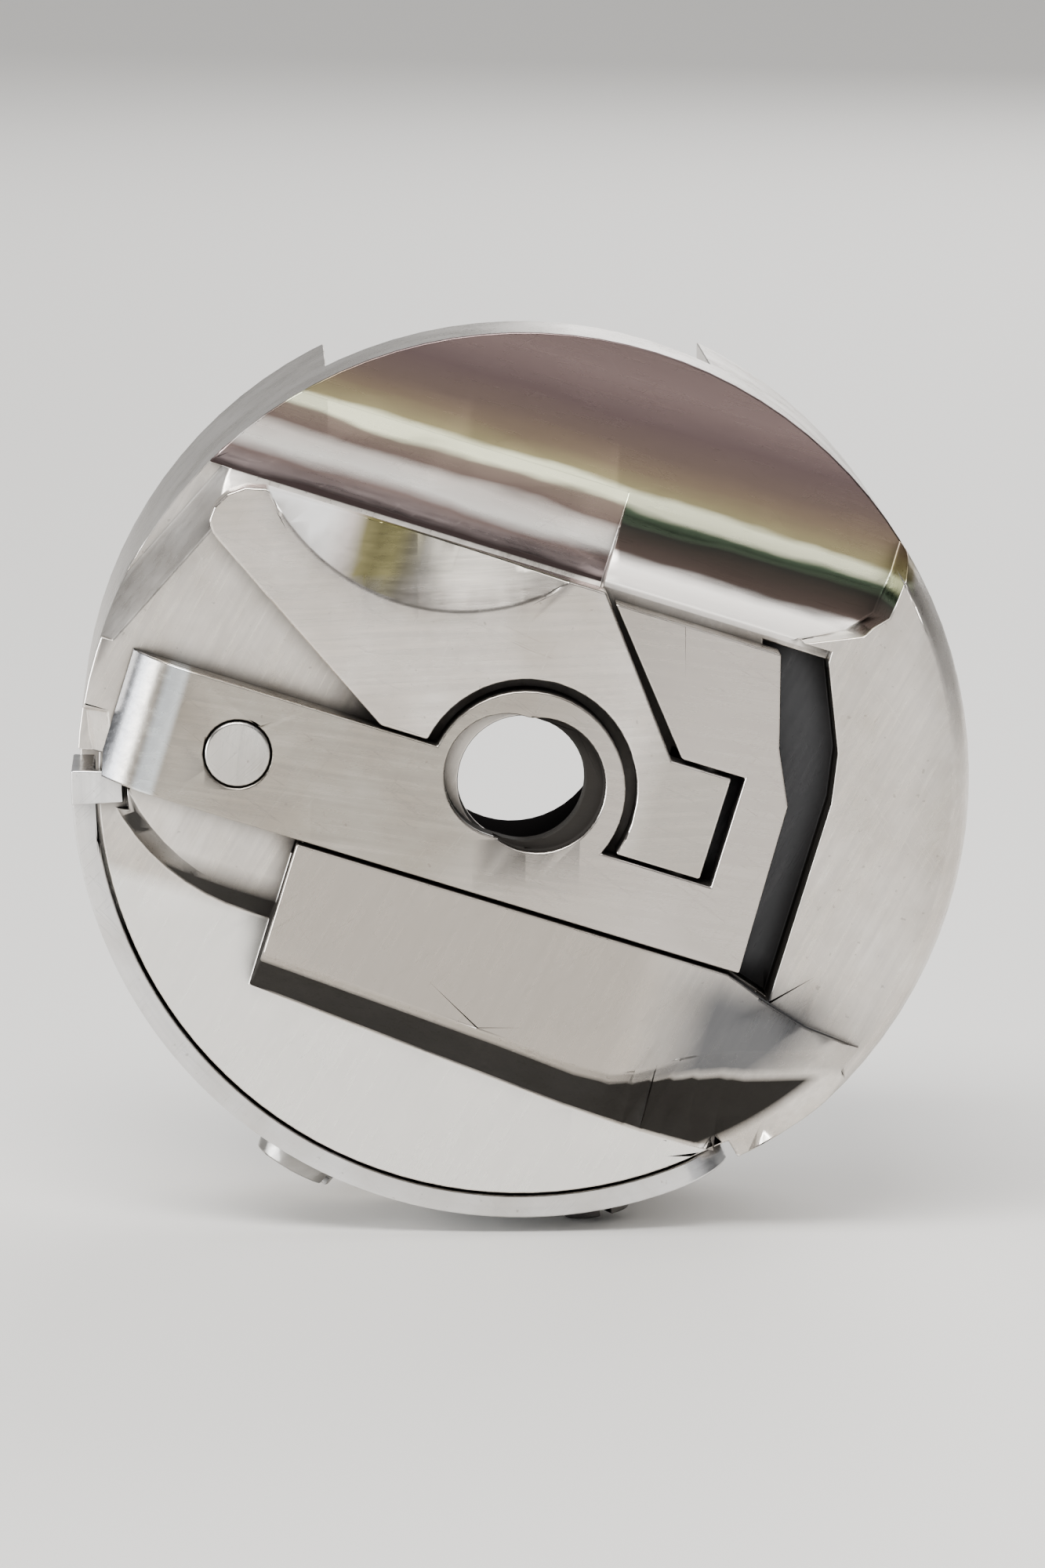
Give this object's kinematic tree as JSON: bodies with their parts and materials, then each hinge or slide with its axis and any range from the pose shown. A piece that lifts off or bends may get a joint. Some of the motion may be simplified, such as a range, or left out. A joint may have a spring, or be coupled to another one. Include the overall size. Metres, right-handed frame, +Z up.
{
  "type": "bobbin case",
  "caption": "Round metal capsule for a sewing machine hook, with a hinged latch lever, a sliding latch, a side tension leaf with screws and an empty bobbin that spins inside.",
  "frame": {"origin": "on the case's axis, in the plane of its open mouth, where the stud of the hook enters the centre tube", "axes": "+Y along the case's axis out of its open mouth, so the latch face looks along -Y; +Z up as the case sits in the hook; +X to the right seen from the latch face"},
  "size_m": [0.0231, 0.012, 0.0236],
  "materials": {
    "case_nickel": "nickel-plated steel, brushed faces and polished hollows",
    "latch_nickel": "nickel-plated steel, fine satin",
    "turned_steel": "turned steel with fine rings",
    "dark_steel": "hardened screw steel, satin",
    "spring_wire": "drawn spring wire",
    "polished_leaf": "polished spring steel",
    "bobbin_steel": "bright nickel-plated sheet"
  },
  "bodies": {
    "case": {"case_body": "case_nickel", "center_tube": "turned_steel", "tension_spring": "polished_leaf", "spring_clamp_screw": "dark_steel", "latch_spring": "spring_wire"},
    "slide": {"latch_slide": "latch_nickel", "slide_stud": "turned_steel", "lever_pin": "dark_steel"},
    "lever": {"latch_lever": "latch_nickel"},
    "bobbin": {"bobbin_hub": "bobbin_steel", "bobbin_front_flange": "bobbin_steel", "bobbin_rear_flange": "bobbin_steel"},
    "tension_screw": {"tension_screw": "dark_steel"}
  },
  "joints": [
    {"name": "latch_slide", "type": "slide", "parent": "case", "child": "slide", "axis": [0.9548, 0, -0.2974], "range_m": [0, 0.00075], "deforming": ["latch_spring"]},
    {"name": "latch_lever", "type": "hinge", "parent": "slide", "child": "lever", "pos_m": [0.0042, -0.01146, -0.00131], "axis": [0.2974, 0, 0.9548], "range_deg": [0, 90], "stiffness_Nm_per_rad": 0.0001, "springref_deg": -57.3},
    {"name": "bobbin_spin", "type": "hinge", "parent": "case", "child": "bobbin", "pos_m": [0, 0, 0], "axis": [0, 1, 0], "continuous": true},
    {"name": "tension_screw_turn", "type": "hinge", "parent": "case", "child": "tension_screw", "pos_m": [-0.0057, -0.0075, -0.01016], "axis": [-0.4894, 0, -0.8721], "range_deg": [-180, 180]}
  ],
  "couplings": [
    {"joint": "latch_lever", "follows": "latch_slide", "rad_per_m": 2094.4}
  ]
}
